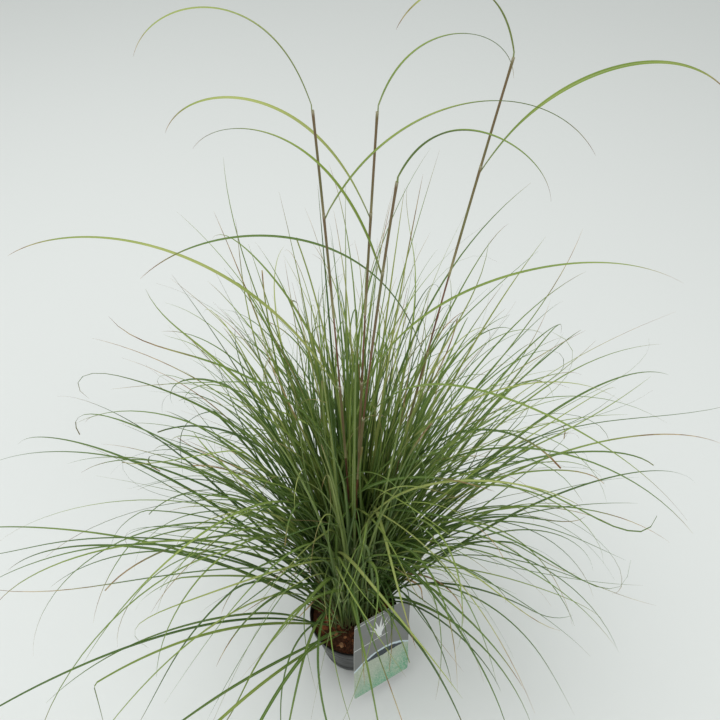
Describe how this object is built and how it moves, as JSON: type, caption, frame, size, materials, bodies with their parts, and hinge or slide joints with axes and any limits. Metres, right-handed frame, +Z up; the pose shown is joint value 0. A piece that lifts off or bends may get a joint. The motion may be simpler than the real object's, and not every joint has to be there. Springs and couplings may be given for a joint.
{
  "type": "potted miscanthus grass clump",
  "caption": "Tufted ornamental grass with long arching narrow blades and a few reddish culms, in a round black nursery pot of compost with a picture label.",
  "frame": {"origin": "centre of the pot's flat bottom, on the surface that the pot stands on", "axes": "+Z up along the pot's axis, -Y towards the front, where the label hangs on the rim"},
  "size_m": [1.3845, 1.0619, 1.2306],
  "materials": {
    "pot_plastic": "satin",
    "compost": "matte",
    "label_card": "satin",
    "culm": "satin",
    "shoot": "satin",
    "blade": "satin"
  },
  "bodies": {
    "root": {"pot": "pot_plastic", "potting_soil": "compost", "plant_label": "label_card", "culm_1": "culm", "culm_2": "culm", "culm_3": "culm", "culm_4": "culm", "culm_blade_01": "blade", "culm_blade_02": "blade", "culm_blade_03": "blade", "culm_blade_04": "blade", "culm_blade_05": "blade", "culm_blade_06": "blade", "culm_blade_07": "blade", "culm_blade_08": "blade", "culm_blade_09": "blade", "culm_blade_10": "blade", "culm_blade_11": "blade", "culm_blade_12": "blade", "shoot_01": "shoot", "shoot_02": "shoot", "shoot_03": "shoot", "shoot_04": "shoot", "shoot_05": "shoot", "shoot_06": "shoot", "shoot_07": "shoot", "shoot_08": "shoot", "shoot_09": "shoot", "shoot_10": "shoot", "shoot_11": "shoot", "shoot_12": "shoot", "leaf_blade_01": "blade", "leaf_blade_02": "blade", "leaf_blade_03": "blade", "leaf_blade_04": "blade", "leaf_blade_05": "blade", "leaf_blade_06": "blade", "leaf_blade_07": "blade", "leaf_blade_08": "blade", "leaf_blade_09": "blade", "leaf_blade_10": "blade", "leaf_blade_11": "blade", "leaf_blade_12": "blade", "leaf_blade_13": "blade", "leaf_blade_14": "blade", "leaf_blade_15": "blade", "leaf_blade_16": "blade", "leaf_blade_17": "blade", "leaf_blade_18": "blade", "leaf_blade_19": "blade", "leaf_blade_20": "blade", "leaf_blade_21": "blade", "leaf_blade_22": "blade", "leaf_blade_23": "blade", "leaf_blade_24": "blade", "leaf_blade_25": "blade", "leaf_blade_26": "blade", "leaf_blade_27": "blade", "leaf_blade_28": "blade"}
  },
  "joints": []
}
